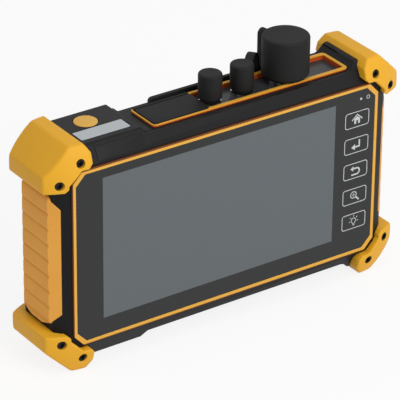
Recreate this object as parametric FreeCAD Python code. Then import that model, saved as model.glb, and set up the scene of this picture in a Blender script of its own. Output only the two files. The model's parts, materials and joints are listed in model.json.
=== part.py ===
import FreeCAD, Part
import math
import os

from FreeCAD import Vector

# Handheld optical time domain reflectometer: a screen unit in a black case with rubber
# corner bumpers and side grips, and a connector bay under dust caps in its top edge.
#
# Millimetres.  +X runs to the right of a person facing the screen, the screen faces -Y
# and +Z is up.  The origin is the middle of the footprint, on the surface it stands on.
# Heights in this file are counted from the middle of the body; save() lifts every piece
# by half the body height.

# ---- driving dimensions ---------------------------------------------------------------

BODY_HEIGHT = 137.5          # over the bumpers
BODY_HALF_LENGTH = 117.5     # over the bumpers
HALF_HEIGHT = BODY_HEIGHT / 2

CASE_HALF_DEPTH = 20.0       # bezel face to back face
CASE_HALF_LENGTH = 110.5     # over the side walls
CASE_CORNER_SUM = 163.0      # |x| + |z| along the 45 degree corners of the case
END_HALF_HEIGHT = 64.5       # raised left end of the case
WAIST_HALF_HEIGHT = 61.0     # top and bottom between the ends
HORN_HALF_HEIGHT = 66.0      # right end, where the case climbs under the bumpers
WALL = 2.5
PARTING_Y = -13.5            # joint between the front bezel and the rear shell
SEAL_GROOVE = 0.5

GLASS_HALF = (99.3, 50.9)
GLASS_CORNER = (5.9, 6.2)
GLASS_THICK = 1.8
GLASS_FRONT = -20.8
GLASS_BACK = GLASS_FRONT + GLASS_THICK
TRIM_LINE_HALF = (101.5, 53.3)
TRIM_LINE_CORNER = (6.5, 7.1)
TRIM_LINE_FRONT = -21.1

LCD_CENTRE = (-5.2, 1.6)
LCD_SIZE = (165.0, 100.0)
LCD_THICK = 5.7
LCD_WINDOW = (158.0, 89.0)

BUMPER_SPHERE = 45.0         # crown radius of the bumper plates
BUMPER_CROWN = (92.0, 48.0)  # where the crown stands proudest
BUMPER_PROUD = 25.0          # how far the crown reaches from the middle plane
BUMPER_SCREWS = ((97.3, 59.3, 21.2), (109.4, 48.6, 19.6))   # |x|, |z|, |y| of the head's seat
SCREW_HOLE_R = 2.6
SCREW_HEAD_R = 2.4
SCREW_HEAD_HIGH = 1.3
SCREW_SHANK_R = 1.4
SCREW_END_Y = 14.5

GRIP_FACE = 112.3
GRIP_INLAY = 0.7             # depth of the pad's seat in the two bevels of the case
GRIP_HALF_HEIGHT = 41.0
GRIP_PITCH = 9.5
GRIP_GROOVES = 8

PANEL_X = (-50.0, 88.0)      # connector panel let into the top of the rear shell
PANEL_BACK_Y = 14.6
PANEL_FOOT = 58.5

BAY_X = (-44.5, 86.0)        # outside of the bay trim
BAY_Y = (-12.8, 10.8)
BAY_RIM = 2.2
BAY_TOP = 62.5
BAY_FLOOR = 59.5
DIVIDER_X = (-8.0, -6.8)
WELL_FLOOR = 54.4            # floor of the socket well under the flap
WELL_WALL = 1.2

PORT_Y = -1.0
OTDR_X = 0.3
VFL_X = 21.5
METER_X = 50.9
FERRULE_BORE_R = 1.25        # for 2.5 mm ferrules
SLEEVE_LENGTH = 11.4

BUTTON_AT = (-74.0, 8.7)
BUTTON_R = 6.7
BUTTON_TRAVEL = 0.8

STAND_PIN = (18.2, 22.0)     # y, z of the stand's hinge pin
STAND_HALF_WIDTH = 38.0
STAND_FOOT_Z = -42.0

BOSS_SPOTS = ((-92.0, 48.0), (92.0, 48.0), (-92.0, -48.0), (92.0, -48.0), (-34.0, -54.0), (34.0, -54.0))
BOSS_HALF = 3.0
CASE_SCREW_SHANK_R = 1.25
CASE_SCREW_HEAD_R = 2.5
DOOR_SCREWS = ((-99.5, 0.0), (-49.5, 0.0))
VENT_SLOTS = 8
VENT_FIRST_X = 52.0
VENT_PITCH = 4.6
VENT_HALF_WIDTH = 0.9
VENT_Z = (30.0, 46.0)

BOARD_FRONT = -7.5           # main board, front and back faces
BOARD_BACK = -5.9

FLAP_SEAT_X = (-43.5, -7.7)
FLAP_SEAT_Y = (-11.9, 9.9)
FLAP_AXIS = (8.4, 62.5)      # y, z of the line the flap bends about
USB_A = (-34.0, 13.2, 5.8)   # sockets in the well: middle, width, depth
USB_C = (-21.0, 9.0, 3.3)
CARD_SLOT = (-12.5, 2.6, 12.6)
METER_TOP = 79.0

RAIL_TOP = 64.0
RAIL_Y = (12.9, 15.4)
RAIL_X = (-30.0, 60.0)
RAIL_MIDDLE = 14.1
STRAP_WIDE = 5.0
STRAP_THICK = 1.2
STRAP_GAP = 0.05             # between a strap and the lug under it
LUG_HALF = (2.6, 2.2)
LUG_HIGH = 3.0
CAP_TAPER = 1.8              # height of the narrow foot of a cap
CAP_CHAMFER = 1.0

# cap name, axis, radius, foot, top, inner radius, inner top, lug (x, y, z), rail end x, arch top
CAPS = (
    ("otdr", OTDR_X, 6.75, 61.2, 77.5, 4.2, 71.4, (4.0, 6.6, 68.0), 9.5, 75.0),
    ("vfl", VFL_X, 6.75, 61.2, 77.5, 3.8, 71.4, (28.0, 3.4, 66.0), 41.0, 76.0),
    ("meter", METER_X, 13.5, 62.8, 87.0, 10.8, 80.0, (50.0, 15.2, 80.0), 45.0, 85.5),
)

FAR = 130.0                  # beyond every face of the instrument
SAVED = []


# ---- drawing helpers ------------------------------------------------------------------

def place(plane, a, b, level):
    """Point (a, b) of a drawing plane, at a level along the plane's normal."""
    if plane == "xy":
        return Vector(a, b, level)
    if plane == "xz":
        return Vector(a, level, b)
    return Vector(level, a, b)


def normal(plane):
    """Direction in which a drawing on the plane is pushed out."""
    return place(plane, 0, 0, 1)


def face(plane, points, level):
    """Closed flat face; a point is (a, b) or (a, b, radius of its rounded corner)."""
    corners = [place(plane, p[0], p[1], level) for p in points]
    radii = [p[2] if len(p) > 2 else 0 for p in points]
    ends = []
    for i, corner in enumerate(corners):
        back = (corners[i - 1] - corner).normalize()
        ahead = (corners[(i + 1) % len(corners)] - corner).normalize()
        half = back.getAngle(ahead) / 2
        if radii[i] == 0:
            ends.append((corner, None, corner))
            continue
        cut = radii[i] / math.tan(half)
        inward = (back + ahead).normalize()
        middle = corner + inward * (radii[i] / math.sin(half) - radii[i])
        ends.append((corner + back * cut, middle, corner + ahead * cut))
    edges = []
    for i, (start, middle, end) in enumerate(ends):
        if middle is not None:
            edges.append(Part.Arc(start, middle, end).toShape())
        following = ends[(i + 1) % len(ends)][0]
        if (following - end).Length > 1e-6:
            edges.append(Part.LineSegment(end, following).toShape())
    return Part.Face(Part.Wire(edges))


def prism(plane, points, low, high):
    """Outline pushed out between two levels."""
    return face(plane, points, low).extrude(normal(plane) * (high - low))


def box(x, y, z):
    """Block between two (low, high) limits on each axis."""
    return Part.makeBox(x[1] - x[0], y[1] - y[0], z[1] - z[0], Vector(x[0], y[0], z[0]))


def rounded_box(x, y, z, radius):
    """Block whose upright edges are rounded."""
    points = [(x[0], y[0], radius), (x[1], y[0], radius), (x[1], y[1], radius), (x[0], y[1], radius)]
    return prism("xy", points, z[0], z[1])


def post(x, y, low, high, radius):
    """Upright cylinder."""
    return Part.makeCylinder(radius, high - low, Vector(x, y, low))


def rod(x, z, front, back, radius):
    """Cylinder that runs front to back."""
    return Part.makeCylinder(radius, back - front, Vector(x, front, z), Vector(0, 1, 0))


def turned(x, y, profile):
    """Solid of revolution about an upright axis; the profile lists (radius, height[, round])."""
    flat = face("xz", profile, 0)
    solid = flat.revolve(Vector(0, 0, 0), Vector(0, 0, 1), 360)
    return Part.Solid(solid.Shells[0]).translated(Vector(x, y, 0))


def fused(pieces):
    """One solid from touching pieces."""
    return pieces[0].multiFuse(pieces[1:]).removeSplitter()


def cut(shape, tools):
    """The shape with every tool taken away."""
    return shape.cut(tools).removeSplitter()


def mirror_x(shape):
    return shape.mirror(Vector(0, 0, 0), Vector(1, 0, 0))


def mirror_y(shape):
    return shape.mirror(Vector(0, 0, 0), Vector(0, 1, 0))


def mirror_z(shape):
    return shape.mirror(Vector(0, 0, 0), Vector(0, 0, 1))


def save(node, shape):
    """Write one piece, standing on its feet."""
    lifted = shape.translated(Vector(0, 0, HALF_HEIGHT))
    lifted.exportStep("parts/" + node + ".step")
    SAVED.append((node, len(lifted.Solids), lifted.Volume, lifted.isValid()))


def octagon(half, corner):
    """Rectangle about the origin with flat-cut corners."""
    a, b = half
    c, d = corner
    quadrant = [(a, b - d), (a - c, b)]
    upper = quadrant + [(-x, z) for x, z in reversed(quadrant)]
    return upper + [(-x, -z) for x, z in upper]


# ---- the case -------------------------------------------------------------------------

def case_front_view(grow):
    """Outline of the case seen from the front; grow moves every wall outwards."""
    slant = grow * (math.sqrt(2) - 1)
    side = CASE_HALF_LENGTH + grow
    end = END_HALF_HEIGHT + grow
    waist = WAIST_HALF_HEIGHT + grow
    horn = HORN_HALF_HEIGHT + grow
    corner = CASE_CORNER_SUM + grow * math.sqrt(2)
    step_top = -53.9 + slant
    step_foot = step_top + END_HALF_HEIGHT - WAIST_HALF_HEIGHT
    ramp_foot = 84.5 - slant
    ramp_top = ramp_foot + HORN_HALF_HEIGHT - WAIST_HALF_HEIGHT
    upper = [
        (side, corner - side), (corner - horn, horn), (ramp_top, horn), (ramp_foot, waist, 4.5 - grow),
        (step_foot, waist), (step_top, end), (end - corner, end), (-side, corner - side),
    ]
    return upper + [(p[0], -p[1]) + p[2:] for p in reversed(upper)]


def case_plan(grow):
    """Outline of the case from above, with two flats beside the bezel and two at the back."""
    nudge = 0.6 * grow
    side = CASE_HALF_LENGTH + grow
    depth = CASE_HALF_DEPTH + grow
    quarter = [(side, 14.5 + nudge), (107.2 + grow, 17.8 + grow), (102.3 + nudge, depth)]
    back = quarter + [(-x, y) for x, y in reversed(quarter)]
    return back + [(-x, -y) for x, y in back]


def case_end_view(grow):
    """Outline of the case from the side: the top and bottom lean in towards the bezel."""
    depth = CASE_HALF_DEPTH + grow
    flat = 54.1 + 0.6 * grow
    tall = 66.5 + grow
    lean = 0.52
    bevel_end = -depth + lean * (tall - flat)
    upper = [(-depth, flat), (bevel_end, tall), (depth, tall)]
    return upper + [(y, -z) for y, z in reversed(upper)]


def case_solid(grow=0.0):
    """The closed case as one block."""
    block = prism("xz", case_front_view(grow), -FAR, FAR)
    block = block.common(prism("xy", case_plan(grow), -FAR, FAR))
    block = block.common(prism("yz", case_end_view(grow), -FAR, FAR))
    back_edge = [(15.2 + grow, 61.0 + grow), (20.6 + grow, 55.6 + grow), (24.0, 75.0), (15.2 + grow, 75.0)]
    lower_edge = [(y, -z) for y, z in back_edge]
    return block.cut([prism("yz", back_edge, -49.0, FAR), prism("yz", lower_edge, -49.0, FAR)])


CASE = case_solid()
CAVITY = case_solid(-WALL)


def boss(x, z, front, back):
    """Square pillar that takes a case screw."""
    return box((x - BOSS_HALF, x + BOSS_HALF), (front, back), (z - BOSS_HALF, z + BOSS_HALF))


def corner_spots():
    """Every bumper screw as (x, z, seat), all round the case."""
    return [(sx * x, sz * z, seat) for x, z, seat in BUMPER_SCREWS for sx in (-1, 1) for sz in (-1, 1)]


def shank_holes(front, back):
    """Holes for the bumper screws between two depths."""
    return [rod(x, z, front, back, SCREW_SHANK_R) for x, z, seat in corner_spots()]


def front_bezel():
    """Front half of the case: a plate that carries the glass, with a wall round its back."""
    slab = CASE.common(box((-FAR, FAR), (-30, PARTING_Y), (-80, 80)))
    plate_back = GLASS_BACK + WALL
    hollow = CAVITY.common(box((-FAR, FAR), (plate_back, 0), (-80, 80)))
    recess = prism("xz", octagon(TRIM_LINE_HALF, TRIM_LINE_CORNER), -30, GLASS_BACK)
    window = prism("xz", [(LCD_CENTRE[0] + sx * LCD_WINDOW[0] / 2, LCD_CENTRE[1] + sz * LCD_WINDOW[1] / 2)
                          for sx, sz in ((-1, -1), (1, -1), (1, 1), (-1, 1))], -30, 0)
    key_window = box((77.5, 97.0), (-30, 0), (-41, 42))
    seal_groove = case_ring(PARTING_Y - SEAL_GROOVE, PARTING_Y)
    bosses = [boss(x, z, plate_back - 0.5, PARTING_Y) for x, z in BOSS_SPOTS]
    body = fused([cut(slab, [hollow])] + [boss.common(CASE) for boss in bosses])
    pilot = [rod(x, z, -16.0, PARTING_Y, CASE_SCREW_SHANK_R) for x, z in BOSS_SPOTS]
    tools = [recess, window, key_window, seal_groove] + pilot + grip_seats()
    return cut(body, tools + shank_holes(-30, -SCREW_END_Y))


def grip_pad():
    """Right grip before its grooves: it lies on the side wall and is let into the two bevels."""
    edge_x, edge_y = 107.2, 17.8
    slip = GRIP_INLAY / math.sqrt(2)
    corner_y = edge_x + edge_y - 2 * slip - CASE_HALF_LENGTH
    half = [(edge_x, edge_y), (GRIP_FACE, edge_x + edge_y - GRIP_FACE)]
    back = [(edge_x - slip, edge_y - slip), (CASE_HALF_LENGTH, corner_y)]
    plan = half + [(x, -y) for x, y in reversed(half)] + [(x, -y) for x, y in back] + back[::-1]
    upper = [(-18.0, 31.7), (-12.7, 38.4), (-5.0, GRIP_HALF_HEIGHT), (5.0, GRIP_HALF_HEIGHT),
             (12.7, 38.4), (18.0, 31.7)]
    ends = upper + [(y, -z) for y, z in reversed(upper)]
    return prism("xy", plan, -50, 50).common(prism("yz", ends, 100, 120))


def grip_seats():
    """What both grips take out of the case."""
    return [grip_pad(), mirror_x(grip_pad())]


def case_ring(front, back):
    """Band one millimetre deep round the edge of the case, between two depths."""
    band = box((-FAR, FAR), (front, back), (-80, 80))
    return CASE.common(band).cut(case_solid(-1.0).common(band))


def panel_block():
    """Part of the case's top that the connector panel fills."""
    return CASE.common(box(PANEL_X, (PARTING_Y, PANEL_BACK_Y), (PANEL_FOOT, 80)))


def connector_panel():
    """Plate in the top of the case, between its raised ends, with the mouth of the bay."""
    mouth = box((BAY_X[0] + 1.2, BAY_X[1] - 1.2), (BAY_Y[0] + 1.2, BAY_Y[1] - 1.2), (50.0, 70.0))
    pocket = rounded_box(BAY_X, BAY_Y, (WAIST_HALF_HEIGHT, 70.0), 2.6)
    under = CAVITY.common(box(PANEL_X, (PARTING_Y, PANEL_BACK_Y), (PANEL_FOOT, 80)))
    return cut(panel_block(), [mouth, pocket, under])


def rear_shell():
    """Back half of the case: a deep tray with a battery box and a stand recess."""
    slab = CASE.common(box((-FAR, FAR), (PARTING_Y, 30), (-80, 80)))
    hollow = CAVITY.common(box((-FAR, FAR), (-30, CASE_HALF_DEPTH - WALL), (-80, 80)))
    additions = [boss(x, z, PARTING_Y, 18.0) for x, z in BOSS_SPOTS]
    additions.append(box((-42.0, 42.0), (14.2, 18.0), (-46.0, 29.0)))
    additions.append(box((-99.0, -50.0), (-3.0, 18.0), (-40.0, 40.0)))
    additions += [post(BUTTON_AT[0] + side * 10.6, BUTTON_AT[1], 56.0, 62.5, 1.8) for side in (-1, 1)]
    additions = [piece.common(CASE) for piece in additions]
    body = fused([cut(slab, [hollow])] + additions)
    return cut(body, rear_shell_cuts())


def rear_shell_cuts():
    """Everything that is taken out of the back half of the case."""
    tools = [panel_block()] + grip_seats()
    tools.append(post(BUTTON_AT[0], BUTTON_AT[1], 61.0, 70.0, BUTTON_R + 0.35))
    tools.append(strip_outline(64.2, 70.0))
    tools.append(box((-97.5, -51.5), (-1.5, 30), (-38.5, 38.5)))
    tools.append(box((-103.0, -46.0), (18.0, 30), (-44.0, 44.0)))
    tools += [rod(x, z, PARTING_Y - 1, 30, CASE_SCREW_SHANK_R) for x, z in BOSS_SPOTS]
    tools += [rod(x, z, 18.0, 30, 2.7) for x, z in BOSS_SPOTS]
    tools += [rod(x, z, 14.0, 30, 1.0) for x, z in DOOR_SCREWS]
    tools.append(stand_recess())
    tools.append(stand_pin_rod(40.0))
    tools += shank_holes(SCREW_END_Y, 30)
    for i in range(VENT_SLOTS):
        middle = VENT_FIRST_X + i * VENT_PITCH
        tools.append(box((middle - VENT_HALF_WIDTH, middle + VENT_HALF_WIDTH), (14, 30), VENT_Z))
    return tools


def stand_recess():
    """Pocket in the back that the folded stand lies in."""
    wide = STAND_HALF_WIDTH + 0.6
    pocket = prism("xz", [(-wide, -43.0, 6), (wide, -43.0, 6), (wide, 24.6), (-wide, 24.6)], 16.3, 30)
    finger = prism("xz", [(-9.0, -45.2, 3), (9.0, -45.2, 3), (9.0, -38.0), (-9.0, -38.0)], 16.3, 30)
    return fused([pocket, finger])


def stand_pin_rod(half_length):
    """Steel pin on which the stand swings."""
    y, z = STAND_PIN
    return Part.makeCylinder(1.0, 2 * half_length, Vector(-half_length, y, z), Vector(1, 0, 0))


def stand():
    """Folding stand: a plate with a shallow panel and a rolled knuckle along its upper edge."""
    w = STAND_HALF_WIDTH
    plate = prism("xz", [(-w, STAND_FOOT_Z, 5.5), (w, STAND_FOOT_Z, 5.5), (w, 22.0), (-w, 22.0)], 16.8, 19.8)
    panel = prism("xz", [(-w + 9, -30.0, 4), (w - 9, -30.0, 4), (w - 9, 12.0, 4), (-w + 9, 12.0, 4)], 19.2, 21.0)
    thumb = prism("xz", [(-7.5, STAND_FOOT_Z - 1, 0), (7.5, STAND_FOOT_Z - 1, 0), (5.5, -38.5, 1.5),
                         (-5.5, -38.5, 1.5)], 16.0, 21.0)
    y, z = STAND_PIN
    knuckle = Part.makeCylinder(1.6, 2 * w, Vector(-w, y, z), Vector(1, 0, 0))
    corner = box((-w, w), (18.2, 21.0), (22.0, 25.0))
    bore = Part.makeCylinder(1.05, 2 * w + 2, Vector(-w - 1, y, z), Vector(1, 0, 0))
    return cut(fused([plate, knuckle]), [panel, thumb, bore, corner.cut(knuckle)])


# ---- corner bumpers -------------------------------------------------------------------

def bumper_outline():
    """Front view of the upper right bumper."""
    return [
        (BODY_HALF_LENGTH, 43.6, 1.5), (BODY_HALF_LENGTH, 53.5, 3.0), (102.0, HALF_HEIGHT, 3.0),
        (93.5, HALF_HEIGHT, 1.5), (90.0, 63.5, 1.5), (90.0, 57.5, 1.5), (92.5, 55.0, 1.5),
        (97.0, 55.0, 2.0), (104.3, 47.5, 2.0), (104.3, 45.5, 1.0), (106.5, 43.6, 1.0),
    ]


def bumper_block():
    """Upper right bumper before it is hollowed: a block between two crowned faces."""
    block = prism("xz", bumper_outline(), -30, 30)
    x, z = BUMPER_CROWN
    centre_y = BUMPER_PROUD - BUMPER_SPHERE
    front = Part.makeSphere(BUMPER_SPHERE, Vector(x, -centre_y, z))
    back = Part.makeSphere(BUMPER_SPHERE, Vector(x, centre_y, z))
    return block.common(front).common(back)


def corner_bumper(block, side, level):
    """Bumper of one corner: it grips the case like a clamp and takes two screws a face."""
    tools = [CASE]
    for x, z, seat in BUMPER_SCREWS:
        x, z = side * x, level * z
        tools += [rod(x, z, -30, -seat, SCREW_HOLE_R), rod(x, z, seat, 30, SCREW_HOLE_R)]
        tools.append(rod(x, z, -30, 30, SCREW_SHANK_R))
    return cut(block, tools)


def bumper_screw(x, z, seat):
    """Socket screw through the front plate of a bumper."""
    head = rod(x, z, -seat - SCREW_HEAD_HIGH, -seat, SCREW_HEAD_R)
    shank = rod(x, z, -seat, -SCREW_END_Y, SCREW_SHANK_R)
    return fused([head, shank])


# ---- side grips -----------------------------------------------------------------------

def side_grip():
    """Right grip: the pad with a groove between its courses and an upright joint in every other one."""
    pad = grip_pad()
    tools = []
    first = -GRIP_PITCH * (GRIP_GROOVES - 1) / 2
    for i in range(GRIP_GROOVES):
        z = first + i * GRIP_PITCH
        tools.append(prism("xz", [(GRIP_FACE - 0.7, z - 0.3), (GRIP_FACE + 0.3, z - 1.1),
                                  (GRIP_FACE + 0.3, z + 1.1), (GRIP_FACE - 0.7, z + 0.3)], -12.0, 12.0))
    for i in range(0, GRIP_GROOVES - 1, 2):
        z = first + i * GRIP_PITCH
        tools.append(prism("xy", [(GRIP_FACE - 0.7, -0.4), (GRIP_FACE + 0.3, -1.1),
                                  (GRIP_FACE + 0.3, 1.1), (GRIP_FACE - 0.7, 0.4)], z, z + GRIP_PITCH))
    return cut(pad, tools)


# ---- screen stack ---------------------------------------------------------------------

def screen_parts():
    """Glass, its sealing line, the panel, the key board and the frame behind them."""
    glass = prism("xz", octagon(GLASS_HALF, GLASS_CORNER), GLASS_FRONT, GLASS_BACK)
    ring = prism("xz", octagon(TRIM_LINE_HALF, TRIM_LINE_CORNER), TRIM_LINE_FRONT, GLASS_BACK)
    save("touch_glass", glass)
    save("glass_sealing_line", ring.cut([prism("xz", octagon(GLASS_HALF, GLASS_CORNER), -30, 0)]))
    x, z = LCD_CENTRE
    panel_front = GLASS_BACK + WALL
    panel_back = panel_front + LCD_THICK
    panel = box((x - LCD_SIZE[0] / 2, x + LCD_SIZE[0] / 2), (panel_front, panel_back),
                (z - LCD_SIZE[1] / 2, z + LCD_SIZE[1] / 2))
    save("display_panel", panel)
    save("touch_key_board", box((78.0, 96.5), (GLASS_BACK, GLASS_BACK + 1.0), (-40, 41)))
    frame = box((-87.0, 87.0), (panel_back, panel_back + 1.5), (-49.0, 50.0))
    standoffs = [rod(sx * 80.0, sz * 43.0, panel_back + 1.5, BOARD_FRONT, 2.5) for sx in (-1, 1) for sz in (-1, 1)]
    save("chassis_plate", fused([frame] + standoffs))


# ---- electronics ----------------------------------------------------------------------

def board_parts():
    """Main board, optical module, battery and the switch under the power button."""
    board = box((-84.0, 84.0), (BOARD_FRONT, BOARD_BACK), (-46.0, 46.0))
    processor = box((-30.0, -14.0), (BOARD_BACK, BOARD_BACK + 1.4), (-30.0, -14.0))
    shield = box((10.0, 44.0), (BOARD_BACK, BOARD_BACK + 3.0), (-34.0, -10.0))
    save("main_board", fused([board, processor, shield]))
    module = box((-8.0, 78.0), (BOARD_BACK, 10.0), (8.0, 46.0))
    save("optical_module", fused([module, box((-10.0, 80.0), (BOARD_BACK, BOARD_BACK + 1.5), (6.0, 48.0))
                                  .common(box((-10.0, 80.0), (-10, 10), (6.0, 46.0)))]))
    cells = [Part.makeCylinder(8.9, 70.0, Vector(x, 7.8, -35.0)) for x in (-83.0, -65.0)]
    holder = box((-97.0, -52.0), (3.0, 12.6), (-37.0, 37.0))
    save("battery_pack", fused([holder] + cells))
    x, y = BUTTON_AT
    save("power_switch_board", box((x - 13.0, x + 13.0), (y - 5.5, y + 5.5), (54.8, 56.0)))
    save("power_switch", fused([box((x - 3.0, x + 3.0), (y - 3.0, y + 3.0), (56.0, 59.0)),
                                post(x, y, 59.0, 59.75, 1.7)]))


def power_button():
    """Domed round button with a collar that keeps it under the case wall."""
    profile = [(0, 60.6), (2.0, 60.6), (2.0, 61.0), (8.1, 61.0), (8.1, 61.95), (BUTTON_R, 61.95),
               (BUTTON_R, 64.4), (BUTTON_R - 0.5, 64.8), (4.0, 65.0), (0, 65.05)]
    return turned(BUTTON_AT[0], BUTTON_AT[1], profile)


def strip_outline(low, high):
    """Bare metal strip beside the power button."""
    return rounded_box((-88.0, -57.0), (-9.5, 0.2), (low, high), 0.8)


def back_covers():
    """Battery door with its screws, and the screws that hold the case halves together."""
    door = box((-102.7, -46.3), (18.0, 20.0), (-43.7, 43.7))
    slots = [box((-86.0, -63.0), (19.2, 21.0), (z - 0.8, z + 0.8)) for z in (-36.0, -32.5, -29.0)]
    heads = [rod(x, z, 19.0, 21.0, 2.6) for x, z in DOOR_SCREWS]
    shanks = [rod(x, z, 17.0, 21.0, 1.0) for x, z in DOOR_SCREWS]
    save("battery_door", cut(door, slots + heads + shanks))
    save("battery_door_screws", Part.makeCompound(
        [fused([rod(x, z, 19.0, 19.9, CASE_SCREW_HEAD_R), rod(x, z, 15.0, 19.0, 1.0)]) for x, z in DOOR_SCREWS]))
    save("case_screws", Part.makeCompound(
        [fused([rod(x, z, 18.0, 19.6, CASE_SCREW_HEAD_R), rod(x, z, -15.5, 18.0, CASE_SCREW_SHANK_R)])
         for x, z in BOSS_SPOTS]))


# ---- connector bay --------------------------------------------------------------------

def bay_trim():
    """Frame round the bay with a divider, a seat for the flap and a collar down to the floor."""
    outer = rounded_box(BAY_X, BAY_Y, (WAIST_HALF_HEIGHT, BAY_TOP), 2.6)
    collar = box((BAY_X[0] + 1.2, BAY_X[1] - 1.2), (BAY_Y[0] + 1.2, BAY_Y[1] - 1.2), (58.5, 61.5))
    inner_x = (BAY_X[0] + BAY_RIM, BAY_X[1] - BAY_RIM)
    inner_y = (BAY_Y[0] + BAY_RIM, BAY_Y[1] - BAY_RIM)
    left = rounded_box((inner_x[0], DIVIDER_X[0]), inner_y, (50, 70), 1.2)
    right = rounded_box((DIVIDER_X[1], inner_x[1]), inner_y, (50, 70), 1.6)
    seat = rounded_box(FLAP_SEAT_X, FLAP_SEAT_Y, (WAIST_HALF_HEIGHT, 70), 1.6)
    return cut(fused([outer, collar]), [left, right, seat])


def port_deck():
    """Floor of the bay: a sheet under the case top, raised under the optical ports."""
    inner_x = (BAY_X[0] + BAY_RIM, BAY_X[1] - BAY_RIM)
    inner_y = (BAY_Y[0] + BAY_RIM, BAY_Y[1] - BAY_RIM)
    sheet = box((BAY_X[0] - 1.5, BAY_X[1] + 1.0), (-13.0, 12.5), (57.0, 58.5))
    deck = rounded_box((DIVIDER_X[1], inner_x[1]), inner_y, (57.0, BAY_FLOOR), 1.6)
    mouth = box((inner_x[0], DIVIDER_X[0]), inner_y, (50, 70))
    holes = [post(x, PORT_Y, 50, 60, radius + 0.1) for x, radius in ((OTDR_X, 4.0), (VFL_X, 4.0), (METER_X, 8.0))]
    return cut(fused([sheet, deck]), [mouth] + holes)


def socket_well():
    """Tray hung under the deck, with the sockets standing in its floor."""
    x = (BAY_X[0] + BAY_RIM, DIVIDER_X[0])
    y = (BAY_Y[0] + BAY_RIM, BAY_Y[1] - BAY_RIM)
    tray = box((x[0] - WELL_WALL, x[1] + WELL_WALL), (y[0] - WELL_WALL, y[1] + WELL_WALL), (53.2, 57.0))
    hollow = box(x, y, (WELL_FLOOR, 70))
    holes = [box((x - a / 2 - 0.1, x + a / 2 + 0.1), (PORT_Y - b / 2 - 0.1, PORT_Y + b / 2 + 0.1), (50, 60))
             for x, a, b in (USB_A, USB_C, CARD_SLOT)]
    return cut(tray, [hollow] + holes)


def sockets():
    """Data socket, charging socket and memory card slot in the well under the flap."""
    x, a, b = USB_A
    shell = box((x - a / 2, x + a / 2), (PORT_Y - b / 2, PORT_Y + b / 2), (41.0, 54.8))
    mouth = box((x - a / 2 + 0.4, x + a / 2 - 0.4), (PORT_Y - b / 2 + 0.4, PORT_Y + b / 2 - 0.4), (43.0, 60))
    tongue = box((x - 5.4, x + 5.4), (PORT_Y + 0.2, PORT_Y + 2.0), (42.5, 53.6))
    save("usb_socket", fused([shell.cut([mouth]), tongue]))
    x, a, b = USB_C
    shell = rounded_box((x - a / 2, x + a / 2), (PORT_Y - b / 2, PORT_Y + b / 2), (46.0, 54.8), 1.5)
    mouth = rounded_box((x - a / 2 + 0.35, x + a / 2 - 0.35), (PORT_Y - b / 2 + 0.35, PORT_Y + b / 2 - 0.35),
                        (47.0, 60), 1.2)
    tongue = box((x - 3.3, x + 3.3), (PORT_Y - 0.35, PORT_Y + 0.35), (46.5, 54.0))
    save("charging_socket", fused([shell.cut([mouth]), tongue]))
    x, a, b = CARD_SLOT
    reader = box((x - a / 2, x + a / 2), (PORT_Y - b / 2, PORT_Y + b / 2), (47.0, 54.8))
    slot = box((x - 0.6, x + 0.6), (PORT_Y - 5.7, PORT_Y + 5.7), (48.0, 60))
    save("card_slot", reader.cut([slot]))


def fibre_adapter(x, rear, smooth):
    """Connector body for a 2.5 mm ferrule: a flange on the deck, a barrel and an inner post."""
    flange_top = 61.0
    barrel_top = 70.6
    post_top = 70.0
    outer = 4.0 if not smooth else 3.6
    profile = [
        (1.6, rear), (4.0, rear), (4.0, BAY_FLOOR), (6.2, BAY_FLOOR), (6.2, flange_top), (outer, flange_top),
        (outer, barrel_top), (3.2, barrel_top), (3.2, 62.0), (2.3, 62.0), (2.3, post_top), (1.6, post_top),
    ]
    return turned(x, PORT_Y, profile)


def split_sleeve(x, top):
    """Ceramic alignment sleeve with a slit along its back."""
    tube = turned(x, PORT_Y, [(FERRULE_BORE_R, top - SLEEVE_LENGTH), (1.6, top - SLEEVE_LENGTH), (1.6, top),
                              (FERRULE_BORE_R, top)])
    slit = box((x - 0.2, x + 0.2), (PORT_Y, PORT_Y + 3.0), (top - SLEEVE_LENGTH - 1, top + 1))
    return tube.cut([slit])


def meter_port():
    """Power meter port: a wide threaded collar with a ferrule guide in its middle."""
    profile = [
        (3.2, 53.0), (8.0, 53.0), (8.0, BAY_FLOOR), (9.4, BAY_FLOOR), (9.4, 62.8), (10.5, 62.8),
        (10.5, METER_TOP - 1.0), (3.2, METER_TOP - 1.0),
    ]
    return turned(METER_X, PORT_Y, profile)


def meter_guide():
    """Screw-in ferrule guide of the power meter port."""
    profile = [(FERRULE_BORE_R, METER_TOP - 12.0), (3.2, METER_TOP - 12.0), (3.2, METER_TOP - 1.0),
               (6.5, METER_TOP - 1.0), (6.5, METER_TOP), (FERRULE_BORE_R, METER_TOP)]
    return turned(METER_X, PORT_Y, profile)


def dust_cap(x, radius, foot, top, inner_radius, inner_top, lug):
    """Rubber cap: a thick cup with a narrow foot, a chamfered top and a lug for its tether."""
    foot_radius = (radius + inner_radius) / 2
    profile = [
        (inner_radius, foot), (foot_radius, foot), (radius, foot + CAP_TAPER), (radius, top - CAP_CHAMFER),
        (radius - CAP_CHAMFER, top), (0, top), (0, inner_top), (inner_radius, inner_top),
    ]
    cup = turned(x, PORT_Y, profile)
    lug_block = box((lug[0] - LUG_HALF[0], lug[0] + LUG_HALF[0]), (lug[1] - LUG_HALF[1], lug[1] + LUG_HALF[1]),
                    (lug[2] - LUG_HIGH, lug[2]))
    bridge = prism("xy", bridge_outline(x, lug), lug[2] - LUG_HIGH, lug[2])
    hole = post(x, PORT_Y, foot, inner_top, inner_radius)
    return cut(fused([cup, lug_block, bridge]), [hole])


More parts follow.
